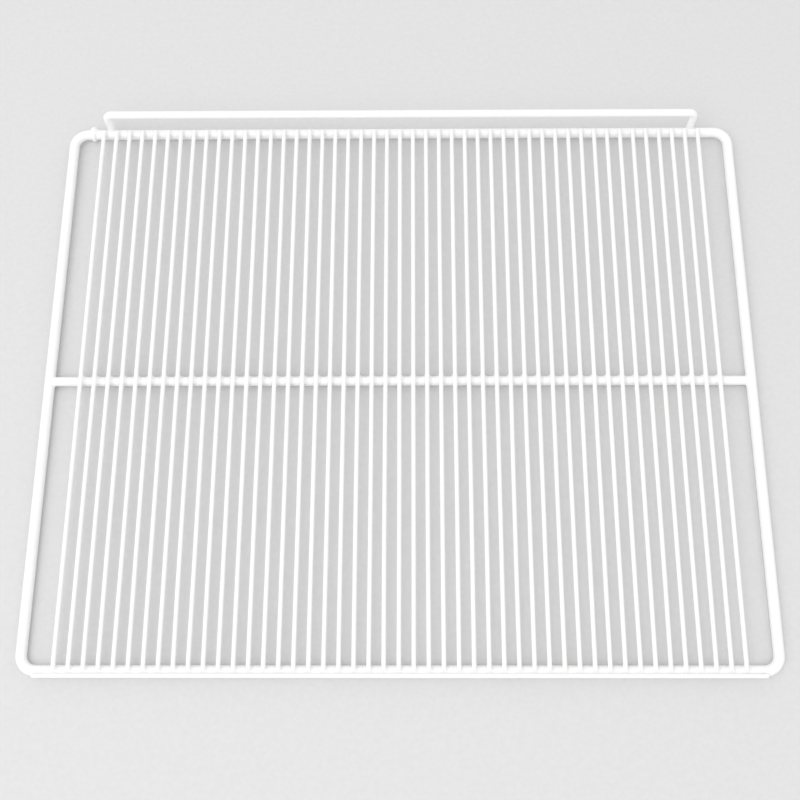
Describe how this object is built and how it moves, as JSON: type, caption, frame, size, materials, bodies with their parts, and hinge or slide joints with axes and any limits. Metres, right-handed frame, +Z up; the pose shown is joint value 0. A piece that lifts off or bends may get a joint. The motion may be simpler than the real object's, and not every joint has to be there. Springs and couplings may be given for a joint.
{
  "type": "wine fridge shelf",
  "caption": "White coated wire shelf for a wine fridge: rounded rectangular wire frame, close parallel deck wires, a cross bar below, a raised back stop and a thin front lip.",
  "frame": {"origin": "middle of the wire frame in plan, level with its lowest point, the underside of the butt weld's collar", "axes": "+X to the right along the width, +Y to the back where the raised stop is, +Z up"},
  "size_m": [0.5146, 0.4249, 0.0314],
  "materials": {
    "white_coating": "satin white plastic coating over steel wire"
  },
  "bodies": {
    "root": {"back_stop": "white_coating", "deck_wire_01": "white_coating", "deck_wire_02": "white_coating", "deck_wire_03": "white_coating", "deck_wire_04": "white_coating", "deck_wire_05": "white_coating", "deck_wire_06": "white_coating", "deck_wire_07": "white_coating", "deck_wire_08": "white_coating", "deck_wire_09": "white_coating", "deck_wire_10": "white_coating", "deck_wire_11": "white_coating", "deck_wire_12": "white_coating", "deck_wire_13": "white_coating", "deck_wire_14": "white_coating", "deck_wire_15": "white_coating", "deck_wire_16": "white_coating", "deck_wire_17": "white_coating", "deck_wire_18": "white_coating", "deck_wire_19": "white_coating", "deck_wire_20": "white_coating", "deck_wire_21": "white_coating", "deck_wire_22": "white_coating", "deck_wire_23": "white_coating", "deck_wire_24": "white_coating", "deck_wire_25": "white_coating", "deck_wire_26": "white_coating", "deck_wire_27": "white_coating", "deck_wire_28": "white_coating", "deck_wire_29": "white_coating", "deck_wire_30": "white_coating", "deck_wire_31": "white_coating", "deck_wire_32": "white_coating", "deck_wire_33": "white_coating", "deck_wire_34": "white_coating", "deck_wire_35": "white_coating", "deck_wire_36": "white_coating", "deck_wire_37": "white_coating", "deck_wire_38": "white_coating", "deck_wire_39": "white_coating", "deck_wire_40": "white_coating", "deck_wire_41": "white_coating", "deck_wire_42": "white_coating", "deck_wire_43": "white_coating", "deck_wire_44": "white_coating", "deck_wire_45": "white_coating", "deck_wire_46": "white_coating", "deck_wire_47": "white_coating", "front_lip": "white_coating", "middle_bar": "white_coating", "perimeter_frame": "white_coating"}
  },
  "joints": []
}
